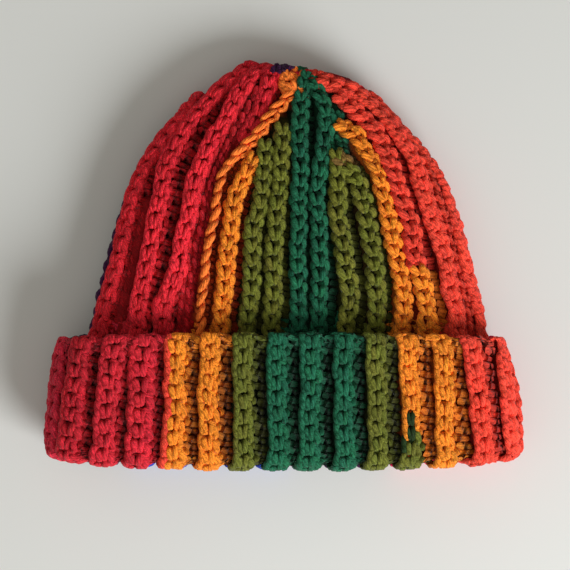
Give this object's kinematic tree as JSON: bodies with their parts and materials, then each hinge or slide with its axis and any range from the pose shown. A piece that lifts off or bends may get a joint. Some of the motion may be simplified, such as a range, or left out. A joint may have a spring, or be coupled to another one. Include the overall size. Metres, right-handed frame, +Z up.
{
  "type": "crochet beanie",
  "caption": "Ribbed crochet beanie in rainbow stripes, with a turned-up cuff, lying flat on its back.",
  "frame": {"origin": "centre of the hat's bounding box, on the surface it lies on", "axes": "+X across the hat to its right as seen from above, +Y from the mouth to the top of the crown, +Z up"},
  "size_m": [0.2374, 0.2042, 0.046],
  "materials": {
    "crown_yarn": "thick satin acrylic yarn crocheted in ribs of red, orange, gold, olive, emerald, blue and purple",
    "cuff_yarn": "the same yarn turned up, in ribs of red, gold, olive, emerald, gold and orange"
  },
  "bodies": {
    "root": {"crown": "crown_yarn", "cuff": "cuff_yarn"}
  },
  "joints": []
}
